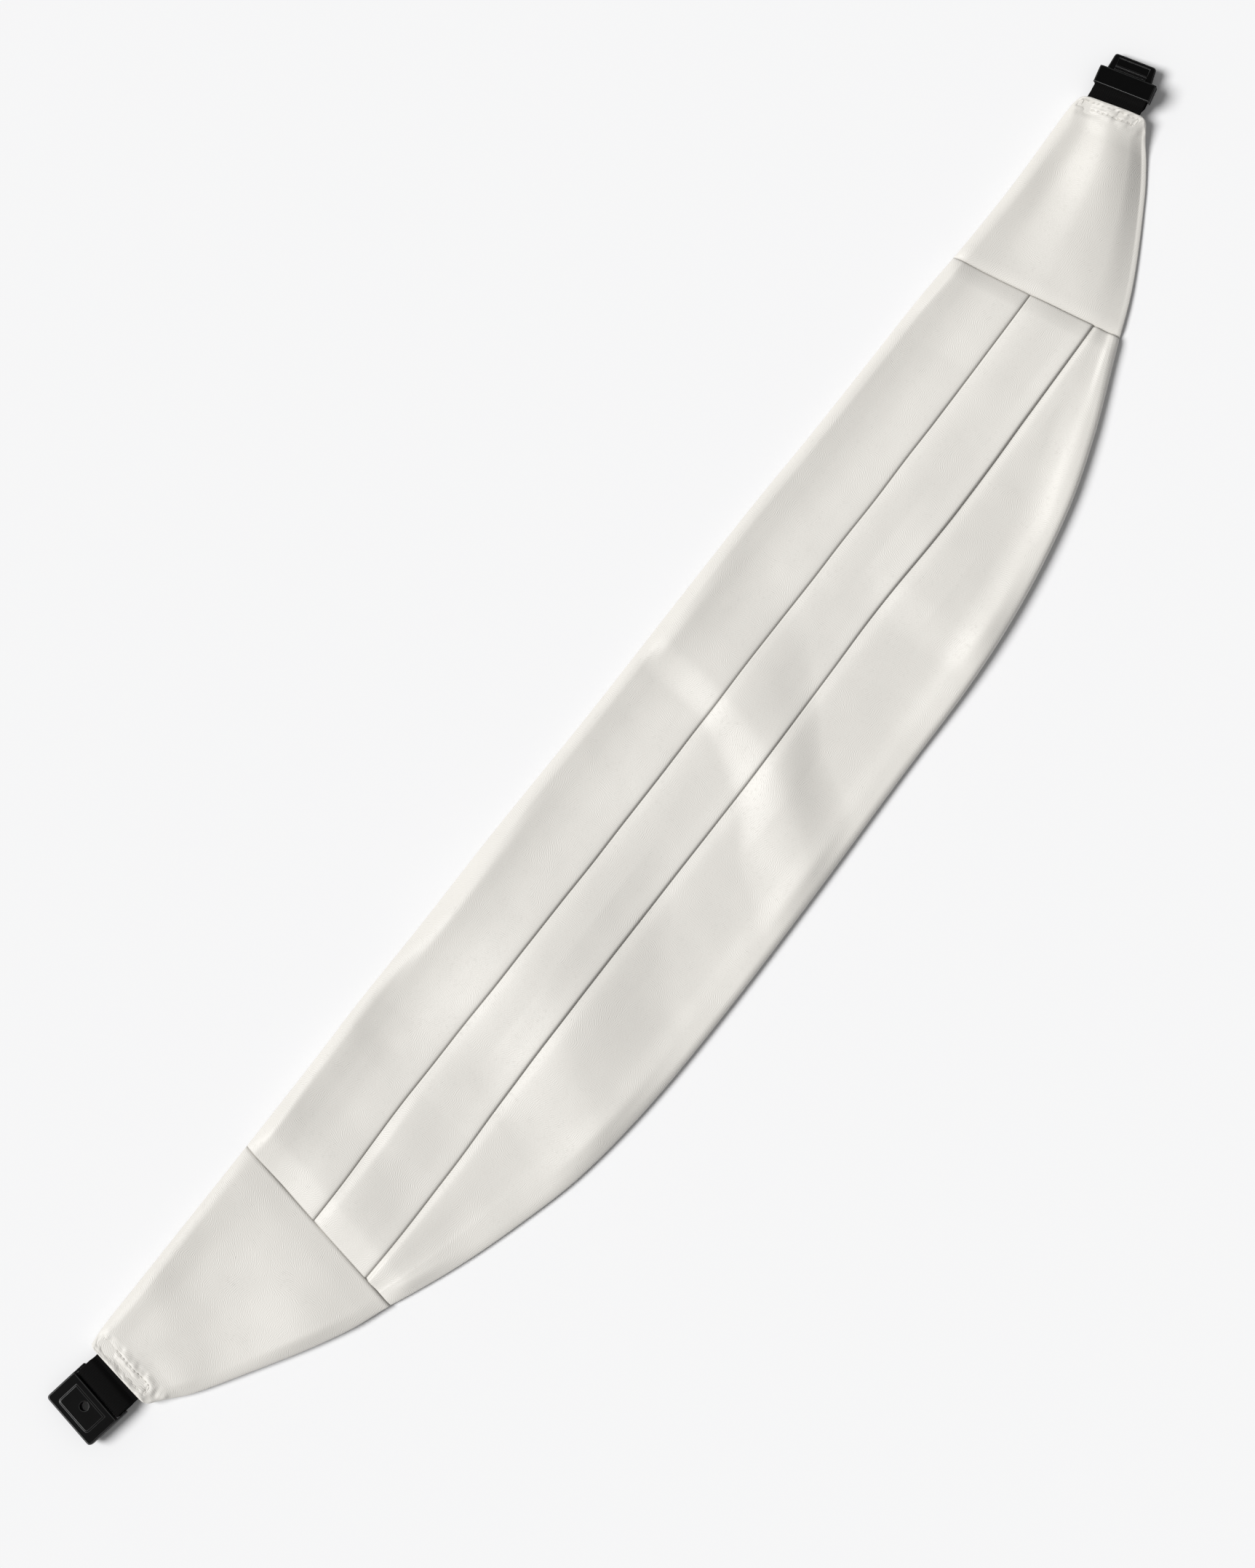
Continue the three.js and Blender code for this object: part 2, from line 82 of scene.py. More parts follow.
room = bpy.data.worlds.new("white_room")
bpy.context.scene.world = room
room.use_nodes = True
room_nodes = room.node_tree.nodes
room_fill = room_nodes["Background"]
room_fill.inputs["Color"].default_value = (1, 1, 1, 1)
room_fill.inputs["Strength"].default_value = room_light
room_seen = room_nodes.new("ShaderNodeBackground")
room_seen.inputs["Color"].default_value = backdrop_white
room_ray = room_nodes.new("ShaderNodeLightPath")
room_choice = room_nodes.new("ShaderNodeMixShader")
room_links = room.node_tree.links
room_links.new(room_ray.outputs["Is Camera Ray"], room_choice.inputs["Fac"])
room_links.new(room_fill.outputs["Background"], room_choice.inputs[1])
room_links.new(room_seen.outputs["Background"], room_choice.inputs[2])
room_links.new(room_choice.outputs["Shader"], room_nodes["World Output"].inputs["Surface"])

bpy.ops.mesh.primitive_plane_add(size=table_size, location=(0, 0, 0))
table_top = bpy.context.object
table_top.name = "table_top"
table_paint = bpy.data.materials.new("table_paint")
table_paint.use_nodes = True
table_surface = table_paint.node_tree.nodes["Principled BSDF"]
table_surface.inputs["Base Color"].default_value = table_white
table_surface.inputs["Roughness"].default_value = 0.9
table_surface.inputs["Specular IOR Level"].default_value = 0
table_top.data.materials.append(table_paint)


# Pleated front
# Off-white matt crepe over a soft backing, laid in two knife pleats that open towards
# the straight edge. Both long edges are rolled over a plain back and pressed.

# Shares of the belt's length where each hem and seam meets the straight and the curved edge
hem_lean = {"left": (0.0044, -0.0029), "right": (0.9941, 1.0057)}
seam_lean = {"left": (0.1614, 0.1381), "right": (0.8655, 0.8893)}
tab_low, tab_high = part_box("left_tab")
belt_length = (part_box("right_tab")[1].x - tab_low.x) / (hem_lean["right"][1] - hem_lean["left"][1])
belt_start = tab_low.x - hem_lean["left"][1] * belt_length
straight_edge = tab_high.y

# The two long edges and the two pleats: shares of the belt's length, and of its height
# counted down from the straight edge
outline = {
    "along": (-0.006, 0.005, 0.018, 0.048, 0.094, 0.139, 0.184, 0.229, 0.274, 0.335, 0.410,
              0.500, 0.591, 0.666, 0.726, 0.786, 0.832, 0.877, 0.922, 0.967, 0.985, 0.994, 1.006),
    "top": (0.014, 0.006, 0.000, 0.001, 0.003, 0.005, 0.006, 0.006, 0.003, 0.007, 0.007,
            0.015, 0.015, 0.016, 0.023, 0.025, 0.026, 0.036, 0.039, 0.031, 0.029, 0.038, 0.050),
    "bottom": (0.257, 0.301, 0.355, 0.456, 0.601, 0.716, 0.815, 0.892, 0.952, 0.988, 0.997,
               0.989, 0.973, 0.963, 0.929, 0.861, 0.775, 0.668, 0.557, 0.413, 0.343, 0.300, 0.248),
}
belt_height = (straight_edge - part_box("pleated_front")[0].y) / max(outline["bottom"])
pleat_lines = {
    "along": (0.130, 0.184, 0.229, 0.274, 0.335, 0.500, 0.591, 0.666, 0.741, 0.832, 0.890),
    "first": (0.342, 0.340, 0.333, 0.332, 0.334, 0.336, 0.331, 0.331, 0.330, 0.322, 0.315),
    "second": (0.598, 0.604, 0.602, 0.594, 0.584, 0.584, 0.577, 0.567, 0.572, 0.558, 0.545),
}

# Heights of the cloth's face across each band, in millimetres
top_crest = 0.12
top_band = {
    "share": (top_crest, 0.24, 0.38, 0.55, 0.75, 0.92, 1.00),
    "rise": (4.15, 3.35, 2.60, 2.35, 2.75, 3.15, 3.10),
}
middle_band = {
    "share": (0.00, 0.10, 0.28, 0.55, 0.75, 0.92, 1.00),
    "rise": (3.10, 3.62, 3.80, 3.60, 3.50, 3.60, 3.55),
}
lower_band = {
    "share": (0.00, 0.08, 0.22, 0.50, 0.72, 0.88, 1.00),
    "rise": (3.10, 3.70, 3.75, 3.40, 3.45, 4.20, 4.60),
}

# Soft swells that run across the front: where each crest lies, how far it rises on the
# socket side and falls on the plug side, and how high it lifts, in millimetres
swells = [
    {"below": (0.00, 0.31, 0.43, 0.60, 0.72, 0.95),
     "along": (0.571, 0.567, 0.563, 0.553, 0.535, 0.508),
     "rise": (16, 16, 20, 26, 32, 34),
     "fall": (60, 48, 42, 30, 26, 30),
     "lift": (2.7, 2.8, 3.0, 3.5, 3.7, 2.4)},
    {"below": (0.00, 0.31, 0.46, 0.60, 0.72, 0.95),
     "along": (0.356, 0.360, 0.362, 0.345, 0.328, 0.303),
     "rise": (48, 50, 52, 48, 42, 36),
     "fall": (74, 76, 78, 72, 62, 54),
     "lift": (4.5, 4.8, 4.9, 4.4, 3.8, 2.6)},
    {"below": (0.45, 0.58, 0.72, 0.95),
     "along": (0.687, 0.689, 0.690, 0.696),
     "rise": (20, 20, 20, 22),
     "fall": (50, 50, 50, 50),
     "lift": (0.0, 1.2, 2.3, 2.0)},
    {"below": (0.00, 0.15, 0.30),
     "along": (0.252, 0.248, 0.243),
     "rise": (34, 34, 34),
     "fall": (14, 14, 14),
     "lift": (0.9, 0.8, 0.0)},
    {"below": (0.50, 0.62, 0.78),
     "along": (0.850, 0.838, 0.830),
     "rise": (40, 40, 40),
     "fall": (25, 25, 25),
     "lift": (0.0, 0.8, 0.9)},
]

# How each upper band leans, in millimetres: above 0 it rises to its fold and looks
# lighter, below 0 it rises to the straight edge and looks darker
band_lean = {
    "along": (0.14, 0.18, 0.217, 0.26, 0.31, 0.362, 0.45, 0.50, 0.56, 0.60, 0.65, 0.70, 0.80,
              0.83, 0.87),
    "top": (0.0, -0.8, -1.3, -0.4, 0.5, 0.9, 1.0, 1.0, 0.5, 0.1, 0.5, 0.3, 0.7, -0.4, -0.8),
    "middle": (0.0, -0.5, -1.0, 0.2, 0.8, 0.9, 0.7, 0.5, 0.6, 0.1, 0.6, 1.1, 1.2, 1.1, 0.9),
}

# The plug side's curved edge is puffed up; the socket side's stays level
belly_lift = {"along": (0.61, 0.69, 0.80, 0.87), "lift": (0.0, 1.7, 1.7, 0.6)}
level_rise = 3.5

# Near each seam the cloth puffs up (how high, how far from the seam, how far it fades)
# and is tucked down to the seam (over what reach, how deep), in millimetres
seam_puff = {"left": (1.8, 13, 32), "right": (1.2, 8, 28)}
seam_tuck = {"left": (7, 0.7), "right": (5, 1.3)}

# The cloth turned back under a pleat (how far back from its fold, how high) and the
# undercut below a rim (how far in, how high), in millimetres
pleat_under = (
    (0.4, 1.4), (1.2, 1.28), (7.4, 1.2), (8.1, 1.26), (8.3, 1.36), (8.1, 1.46), (7.4, 1.5),
)
rim_below = ((1.4, 0.35), (0.75, 0.8), (0.3, 1.35), (0.05, 1.85))

# Shares of a band's width where its last rows lie, close together by the next fold
near_pleat = np.array((0.905, 0.925, 0.943, 0.957, 0.968, 0.977, 0.985, 0.991, 0.996, 1.0))

# How much painted shade darkens the cloth's colour in its creases, along its seams and pleats, and
# under its rims: 1 is darkest
upper_rim_shade = 0.9
lower_rim_shade = 0.5
pleat_shade = 0.75
pleat_shade_reach = 0.8 * mm
seam_shade = 0.35
seam_shade_reach = 0.3 * mm

# The small waves of the cloth (how long, how high), in millimetres
cloth_waves = ((46, 0.30), (15, 0.09), (7, 0.035))

# The swells fade out near the long edges, and the puffs sooner
swell_calm = 9 * mm
puff_calm = 6 * mm
belly_reach = 16 * mm
pleat_wander = 0.15 * mm
pleat_wander_length = 21 * mm
edge_roll = 4.7 * mm
edge_middle = 2.2 * mm
belly_out = 0.9 * mm
fold_radius = 0.78 * mm
fold_bottom = 1.55 * mm
dive_depth = 1.1 * mm
dive_reach = 0.42 * mm
underside = 0.1 * mm
seam_height = 0.8 * mm
section_step = 1.15 * mm


def smooth_curve(places, heights, at):
    """A smooth curve through one column of a table, read at many places at once."""
    places = np.asarray(places, float)
    heights = np.asarray(heights, float)
    last = len(places) - 1
    slopes = np.empty_like(heights)
    slopes[1:-1] = (heights[2:] - heights[:-2]) / (places[2:] - places[:-2])
    slopes[0] = (heights[1] - heights[0]) / (places[1] - places[0])
    slopes[last] = (heights[last] - heights[last - 1]) / (places[last] - places[last - 1])
    at = np.clip(at, places[0], places[last])
    row = np.clip(np.searchsorted(places, at, side="right") - 1, 0, last - 1)
    span = places[row + 1] - places[row]
    t = (at - places[row]) / span
    return (
        heights[row] * (2 * t**3 - 3 * t**2 + 1)
        + slopes[row] * span * (t**3 - 2 * t**2 + t)
        + heights[row + 1] * (3 * t**2 - 2 * t**3)
        + slopes[row + 1] * span * (t**3 - t**2)
    )


def eased(share):
    """From 0 to 1, starting and ending gently."""
    share = np.clip(share, 0, 1)
    return share * share * (3 - 2 * share)


def unevenness(x, y, size, seed):
    """Smooth random heights from -1 to 1 that change over about size."""
    lattice = np.random.default_rng(seed).uniform(-1, 1, (96, 96))
    gx, gy = np.asarray(x) / size + 40, np.asarray(y) / size + 40
    ix, iy = np.floor(gx).astype(int), np.floor(gy).astype(int)
    sx, sy = eased(gx - ix), eased(gy - iy)
    here = lattice[ix % 96, iy % 96] * (1 - sx) + lattice[(ix + 1) % 96, iy % 96] * sx
    over = lattice[ix % 96, (iy + 1) % 96] * (1 - sx) + lattice[(ix + 1) % 96, (iy + 1) % 96] * sx
    return here * (1 - sy) + over * sy


def cloth_unevenness(x, y, seed):
    """The cloth's small random waves, the coarse ones highest."""
    total = 0
    for number, (size, height) in enumerate(cloth_waves):
        total = total + height * mm * unevenness(x, y, size * mm, seed + number)
    return total


def swell_height(x, y):
    """How high the swells and the small waves lift the front at places on the table."""
    along = (x - belt_start) / belt_length
    below = (straight_edge - y) / belt_height
    total = cloth_unevenness(x, y, 11)
    for swell in swells:
        crest, rise, fall, lift = (
            np.interp(below, swell["below"], swell[part])
            for part in ("along", "rise", "fall", "lift")
        )
        past = (along - crest) * belt_length / mm
        reach = np.where(past < 0, rise, fall)
        total = total + lift * mm * eased(1 - np.abs(past) / reach)
    return total


def edge_line(top_share, bottom_share):
    """Where a slanted line across the belt meets its straight and its curved edge, in y."""
    top = straight_edge - belt_height * smooth_curve(outline["along"], outline["top"], top_share)
    bottom_below = smooth_curve(outline["along"], outline["bottom"], bottom_share)
    bottom = straight_edge - belt_height * bottom_below
    return top, bottom - belly_out


def line_x(lean, y):
    """Where a slanted line across the belt, such as a seam or a hem, lies at y, in x."""
    top, bottom = edge_line(lean[0], lean[1])
    share = (top - y) / (top - bottom)
    return belt_start + belt_length * (lean[0] + (lean[1] - lean[0]) * share)


def spaced(total, step, edge_step, edge_reach):
    """Places from 0 to total, closer together near both ends."""
    close = np.arange(0, edge_reach, edge_step)
    wide = np.linspace(edge_reach, total - edge_reach, max(int((total - 2 * edge_reach) / step), 2))
    return np.concatenate([close, wide, total - close[::-1]])


def closed_skin(name, x, y, z, painted_shade):
    """A closed mesh from rings of points: rows run round a ring, columns from ring to ring."""
    around, rings = x.shape
    points = np.stack([x, y, z], axis=2).transpose(1, 0, 2).reshape(-1, 3)
    ring, place = np.meshgrid(np.arange(rings - 1), np.arange(around), indexing="ij")
    after = (place + 1) % around
    quads = np.stack([
        ring * around + place, ring * around + after,
        (ring + 1) * around + after, (ring + 1) * around + place,
    ], axis=2).reshape(-1, 4).tolist()
    caps = [
        list(range(around))[::-1],
        [(rings - 1) * around + i for i in range(around)],
    ]
    mesh = bpy.data.meshes.new(name)
    mesh.from_pydata(points.tolist(), [], quads + caps)
    mesh.update()
    body = bpy.data.objects.new(name, mesh)
    bpy.context.collection.objects.link(body)
    # The crease mask written here is painted shade: it darkens the cloth's colour where shade falls
    shade = mesh.attributes.new("painted_shade", "FLOAT", "POINT")
    shade.data.foreach_set("value", painted_shade.transpose(1, 0).reshape(-1).astype(np.float32))
    first, second, third = (points[[quad[corner] for quad in quads]] for corner in range(3))
    volume = np.einsum("ij,ij->i", first, np.cross(second, third)).sum()
    if volume < 0:
        mesh.flip_normals()
    mesh.shade_smooth()
    return body


def front_rings():
    """Rings of the pleated front, from the left seam to the right seam."""
    left, right = seam_lean["left"], seam_lean["right"]
    long_side = belt_length * (right[0] - left[0])
    share = spaced(long_side, section_step, 0.5 * mm, 8 * mm) / long_side
    top_share = left[0] + (right[0] - left[0]) * share
    bottom_share = left[1] + (right[1] - left[1]) * share
    top, bottom = edge_line(top_share, bottom_share)

    def x_at(y):
        across = (top - y) / (top - bottom)
        return belt_start + belt_length * (top_share + (bottom_share - top_share) * across)

    def pleat(column, across, seed):
        guess = top + (bottom - top) * across
        share = (x_at(guess) - belt_start) / belt_length
        place = smooth_curve(pleat_lines["along"], pleat_lines[column], share)
        line = straight_edge - belt_height * place
        return line + pleat_wander * unevenness(x_at(line), seed, pleat_wander_length, seed)

    first, second = pleat("first", 0.34, 3), pleat("second", 0.6, 4)
    rows = []

    def lay(y, z, painted_shade=0.0, face=True):
        y, z, painted_shade = (np.broadcast_to(part, top.shape) for part in (y, z, painted_shade))
        rows.append((x_at(y), y, z, painted_shade, face))

    along = top_share + (bottom_share - top_share) / 2
    level = 1 - eased((along - 0.20) / 0.16)

    def band(start, end, profile, shares, lean_name=None):
        """One band of the face. The upper two lean, and dive under the next band's fold."""
        for at in shares:
            y = start + (end - start) * at
            rise = smooth_curve(profile["share"], profile["rise"], at)
            if lean_name is None:
                rise = rise - level * max(rise - level_rise, 0) * eased((at - 0.4) / 0.3)
                lay(y, mm * rise)
                continue
            lean = smooth_curve(band_lean["along"], band_lean[lean_name], along)
            upper = (1 - at) * (eased(at / top_crest) if lean_name == "middle" else 1)
            rise = rise + np.maximum(lean, 0) * max(at - 0.1, 0) + np.maximum(-lean, 0) * upper
            past = y - end
            dive = dive_depth * np.exp(-past / dive_reach)
            # Painted shade darkens the colour along the pleat line, where the band dives under the
            # fold
            lay(y, mm * rise - dive, pleat_shade * np.exp(-((past / pleat_shade_reach) ** 2)))

    def fold(line):
        """The cloth turned back under a pleat, and the round fold over it."""
        # The turned-back cloth is painted in full shade, and the fold's underside is painted darker
        # towards its bottom
        for back, z in pleat_under:
            lay(line - back * mm, z * mm, 1)
        for degrees in (-90, -60, -35, -10, 12, 35, 60, 85):
            angle = math.radians(degrees)
            y = line - fold_radius + fold_radius * math.cos(angle)
            shade = eased((20 - degrees) / 60)
            lay(y, fold_bottom + fold_radius + fold_radius * math.sin(angle), shade)

    # Round the section: the back, the straight edge, the three bands and the curved edge
    for at in np.linspace(0.03, 0.97, 18):
        lay(bottom + (top - bottom) * at, underside, face=False)
    lay(top - 2.0 * mm, underside, face=False)
    # The undercut below the straight edge's rim is painted in shade
    for inward, height in rim_below:
        lay(top - inward * mm, height * mm, upper_rim_shade)
    top_lean = np.maximum(-smooth_curve(band_lean["along"], band_lean["top"], along), 0)
    crest = mm * (top_band["rise"][0] + (1 - top_crest) * top_lean)
    for angle in np.linspace(0, math.pi / 2, 12)[:-1]:
        y = top - edge_roll * (1 - math.cos(angle))
        lay(y, edge_middle + (crest - edge_middle) * math.sin(angle))
    band(top, first, top_band,
         np.concatenate([np.linspace(top_crest, 0.885, 32), near_pleat]), "top")
    fold(first)
    band(first - fold_radius, second, middle_band,
         np.concatenate([(0.01, 0.025), np.linspace(0.05, 0.885, 24), near_pleat]), "middle")
    fold(second)
    belly_roll = (3.0 + 1.4 * eased((0.40 - along) / 0.14)) * mm
    band(second - fold_radius, bottom + belly_roll, lower_band,
         np.concatenate([(0.006, 0.015), np.linspace(0.03, 1.0, 40)]))
    crest = mm * (lower_band["rise"][-1] * (1 - level) + level_rise * level)
    for angle in np.linspace(0, math.pi / 2, 12)[1:]:
        y = bottom + belly_roll * (1 - math.sin(angle))
        lay(y, edge_middle + (crest - edge_middle) * math.cos(angle))
    # The undercut below the curved edge's rim is painted in shade
    for inward, height in rim_below[::-1]:
        lay(bottom + inward * mm, height * mm, lower_rim_shade)
    lay(bottom + 2.0 * mm, underside, face=False)

    x, y, z, painted_shade = (np.stack([row[part] for row in rows]) for part in range(4))
    face = np.array([row[4] for row in rows])[:, None]
    inside = np.minimum(top - y, y - bottom)
    z = z + face * swell_height(x, y) * eased(inside / swell_calm)
    share = (x - belt_start) / belt_length
    puffed = mm * smooth_curve(belly_lift["along"], belly_lift["lift"], share)
    upper = np.clip((z - edge_middle) / (2 * mm), 0, 1)
    z = z + face * puffed * upper * eased(1 - (y - bottom - belly_roll) / belly_reach)
    from_seam = {"left": x - line_x(left, y), "right": line_x(right, y) - x}
    puff = 0
    for end, away in from_seam.items():
        lift, middle, fade = (size * mm for size in seam_puff[end])
        reach = np.where(away < middle, middle, fade)
        puff = puff + lift * eased(1 - np.abs(away - middle) / reach)
    z = z + face * puff * eased(inside / puff_calm)
    for end, away in from_seam.items():
        reach, sunk = (size * mm for size in seam_tuck[end])
        z = tucked(z, away, reach, sunk)
    # Painted shade darkens the colour along each seam
    nearest = np.minimum(from_seam["left"], from_seam["right"])
    painted_shade = np.maximum(painted_shade, face * seam_shade * np.exp(-((nearest / seam_shade_reach) ** 2)))
    return x, y, z, painted_shade


def tucked(z, from_seam, reach, sunk):
    """Cloth that is sewn down at a seam, sunk that much, and rounds up from it."""
    rise = np.sqrt(np.clip(1 - (1 - np.clip(from_seam / reach, 0, 1)) ** 2, 0, 1))
    return z - np.clip(z - seam_height, 0, sunk) * (1 - rise)


pleated_front = closed_skin("pleated_front_cloth", *front_rings())


def material(name):
    """A new material, with its nodes and its links."""
    made = bpy.data.materials.new(name)
    made.use_nodes = True
    return made, made.node_tree.nodes, made.node_tree.links


def set_inputs(node, values):
    """Gives a node's inputs these values, and gives the node back."""
    for socket, value in values.items():
        node.inputs[socket].default_value = value
    return node


def crepe_group():
    """Fine crinkled ridges that run in patches, like the lines of a fingertip, over a grain."""
    group = bpy.data.node_groups.new("crepe", "ShaderNodeTree")
    face = group.interface
    for name, kind, value in (
        ("Vector", "NodeSocketVector", None),
        ("Ridge Turn", "NodeSocketFloat", 0.0),
        ("Ridge Wander", "NodeSocketFloat", 1.2),
        ("Painted Shade", "NodeSocketFloat", 0.0),
        ("Cloth", "NodeSocketColor", (0.72, 0.71, 0.68, 1)),
    ):
        socket = face.new_socket(name=name, in_out="INPUT", socket_type=kind)
        if value is not None:
            socket.default_value = value
    face.new_socket(name="Color", in_out="OUTPUT", socket_type="NodeSocketColor")
    face.new_socket(name="Height", in_out="OUTPUT", socket_type="NodeSocketFloat")
    face.new_socket(name="Roughness", in_out="OUTPUT", socket_type="NodeSocketFloat")
    nodes, links = group.nodes, group.links
    given = nodes.new("NodeGroupInput")
    result = nodes.new("NodeGroupOutput")

    def noise(scale, detail):
        node = set_inputs(nodes.new("ShaderNodeTexNoise"), {"Scale": scale, "Detail": detail})
        links.new(given.outputs["Vector"], node.inputs["Vector"])
        return node.outputs["Fac"]

    def math_node(operation, first, second, third=None):
        node = nodes.new("ShaderNodeMath")
        node.operation = operation
        for socket, value in zip(node.inputs, (first, second, third)):
            if value is None:
                continue
            if isinstance(value, (int, float)):
                socket.default_value = value
            else:
                links.new(value, socket)
        return node.outputs[0]

    drift = math_node("SUBTRACT", noise(48, 1.5), 0.5)
    swing = math_node("MULTIPLY", drift, given.outputs["Ridge Wander"])
    turn = math_node("MULTIPLY_ADD", swing, 6.0, given.outputs["Ridge Turn"])
    ridges = nodes.new("ShaderNodeTexGabor")
    ridges.gabor_type = "2D"
    set_inputs(ridges, {"Scale": 700, "Frequency": 1.9, "Anisotropy": 0.9})
    links.new(given.outputs["Vector"], ridges.inputs["Vector"])
    links.new(turn, ridges.inputs["Orientation"])
    fading = set_inputs(nodes.new("ShaderNodeMapRange"),
                        {"From Min": 0.3, "From Max": 0.65, "To Min": 0.6, "To Max": 1.0})
    links.new(noise(95, 2), fading.inputs["Value"])
    crinkle = math_node("SUBTRACT", ridges.outputs["Value"], 0.5)
    crinkle = math_node("MULTIPLY", crinkle, fading.outputs["Result"])
    thread = math_node("SUBTRACT", noise(1700, 2), 0.5)
    height = math_node("MULTIPLY_ADD", thread, 0.4, crinkle)
    links.new(height, result.inputs["Height"])

    tone = set_inputs(nodes.new("ShaderNodeMapRange"),
                      {"From Min": 0.25, "From Max": 0.75, "To Min": 0.975, "To Max": 1.015})
    links.new(noise(60, 4), tone.inputs["Value"])
    # The random tone is the cloth's own; the crinkles' crests are painted lighter and their grooves
    # painted darker, as light and shade
    tone_and_ridge_shade = math_node("MULTIPLY_ADD", crinkle, 0.05, tone.outputs["Result"])
    # Painted shade: the crease mask darkens the cloth's colour where shade falls in pleats, seams,
    # rims and needle holes
    shaded = math_node("MULTIPLY_ADD", given.outputs["Painted Shade"], -0.55, tone_and_ridge_shade)
    scaled = nodes.new("ShaderNodeVectorMath")
    scaled.operation = "SCALE"
    links.new(given.outputs["Cloth"], scaled.inputs[0])
    links.new(shaded, scaled.inputs["Scale"])
    links.new(scaled.outputs["Vector"], result.inputs["Color"])
    rough = math_node("MULTIPLY_ADD", crinkle, -0.15, 0.5)
    links.new(rough, result.inputs["Roughness"])
    return group


crepe = crepe_group()


def crepe_cloth(name, color, ridge_turn, ridge_wander, shift):
    """Matt crepe in one colour. Its crinkles mostly run the way of ridge_turn, in radians."""
    made, nodes, links = material(name)
    surface = set_inputs(nodes["Principled BSDF"],
                         {"Specular IOR Level": 0.5, "Sheen Weight": 0.12, "Sheen Roughness": 0.45})
    place = nodes.new("ShaderNodeTexCoord")
    shifted = set_inputs(nodes.new("ShaderNodeMapping"), {"Location": shift})
    # The crease attribute carries painted shade, which darkens the colour in pleats, at seams, under
    # rims and in needle holes
    painted_shade = nodes.new("ShaderNodeAttribute")
    painted_shade.attribute_name = "painted_shade"
    grain = nodes.new("ShaderNodeGroup")
    grain.node_tree = crepe
    set_inputs(grain, {"Ridge Turn": ridge_turn, "Ridge Wander": ridge_wander, "Cloth": color})
    relief = set_inputs(nodes.new("ShaderNodeBump"), {"Strength": 1, "Distance": 0.125 * mm})
    links.new(place.outputs["Object"], shifted.inputs["Vector"])
    links.new(shifted.outputs["Vector"], grain.inputs["Vector"])
    links.new(painted_shade.outputs["Fac"], grain.inputs["Painted Shade"])
    links.new(grain.outputs["Color"], surface.inputs["Base Color"])
    links.new(grain.outputs["Roughness"], surface.inputs["Roughness"])
    links.new(grain.outputs["Height"], relief.inputs["Height"])
    links.new(relief.outputs["Normal"], surface.inputs["Normal"])
    return made


front_ivory = (0.73, 0.708, 0.665, 1)
front_crepe = crepe_cloth("front_crepe", front_ivory, 0.6, 1.3, (0, 0, 0))
pleated_front.data.materials.append(front_crepe)
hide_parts("pleated_front")
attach(pleated_front, "root")


# Two tabs
# Tapered ends of the same crepe, sewn to the front at a sunk seam. Each is a flat bag
# of two plies whose mouth is turned in and stitched down over its elastic with a box.

# What differs between the two ends. Lengths other than the elastic's width are in millimetres.
# side, along: which way the tab points, and where its hem is as a share of the belt's length
# width, yaw, sway: the elastic's width, the way it points, and how far it swings aside
# hem_roll, clasp_roll: how far the elastic leans over, at the hem and at the clasp
# box_in, box_down: where the box of stitches starts and ends, in from the hem and down it
# corners: radii of the hem's corners, at the straight and at the curved edge
# seam_tuck: over what reach, and how deep, the cloth is tucked down to the seam
# lower_roll, lower_edge, edge_out: the curved edge's roll, its height, and how far it bulges
# dents: hollows in the hem, each its place in from the hem and down it, two sizes, a depth
# lumps: humps, each its share of the belt's length and height, its size and its lift
# heights: the face's heights, a row for each share from the seam to the hem in from_seam,
# and along each row one for each share across it, down from the straight edge
ends = {
    "left": {
        "side": -1, "along": 0,
        "width": 25 * mm, "yaw": math.radians(170.8), "sway": 0,
        "hem_roll": math.radians(5), "clasp_roll": math.radians(8),
        "box_in": (2.4, 6.6), "box_down": (2.6, 29.6), "seed": 31,
        "corners": (0.9, 1.8), "seam_tuck": (1.8, 0.9),
        "lower_roll": 5.4, "lower_edge": 3.3, "edge_out": 1.1, "ridge_turn": 2.2,
        "dents": ((4.6, 5.4, 1.7, 3.2, 1.5), (3.7, 19.5, 0.9, 6.5, 0.8),
                  (5.4, 26.5, 1.5, 2.6, 1.0)),
        "lumps": ((0.098, 0.52, 20, 2.1), (0.05, 0.13, 12, 1.0), (0.021, 0.33, 11, 1.3)),
        "from_seam": (0.0, 0.12, 0.45, 0.72, 1.0),
        "heights": (
            (3.2, 2.6, 2.6, 3.1, 4.0),
            (4.0, 3.4, 3.5, 4.1, 5.0),
            (4.6, 3.2, 3.7, 4.4, 5.2),
            (5.2, 4.2, 4.6, 4.7, 5.0),
            (5.0, 5.2, 5.3, 5.2, 4.8),
        ),
    },
    "right": {
        "side": 1, "along": 1,
        "width": 22.8 * mm, "yaw": math.radians(14), "sway": -0.05,
        "hem_roll": math.radians(8), "clasp_roll": math.radians(12),
        "box_in": (1.9, 4.9), "box_down": (1.8, 24.6), "seed": 41,
        "corners": (2.0, 2.0), "seam_tuck": (6, 1.8),
        "lower_roll": 2.2, "lower_edge": 2.1, "edge_out": 0.2, "ridge_turn": 1.2,
        "dents": ((3.0, 3.0, 1.5, 2.2, 1.0), (3.2, 10.5, 0.9, 2.2, 0.5),
                  (7.6, 7.5, 2.1, 3.6, 0.8), (2.6, 17.5, 0.9, 2.6, 0.5)),
        "lumps": ((0.905, 0.30, 16, 0.8),),
        "from_seam": (0.0, 0.15, 0.5, 0.8, 1.0),
        "heights": (
            (4.3, 3.3, 3.6, 3.8, 3.1),
            (4.5, 3.4, 4.3, 4.5, 2.6),
            (4.9, 3.9, 7.0, 5.8, 1.9),
            (4.9, 4.8, 8.2, 6.2, 2.0),
            (5.0, 5.1, 5.3, 5.2, 4.2),
        ),
    },
}
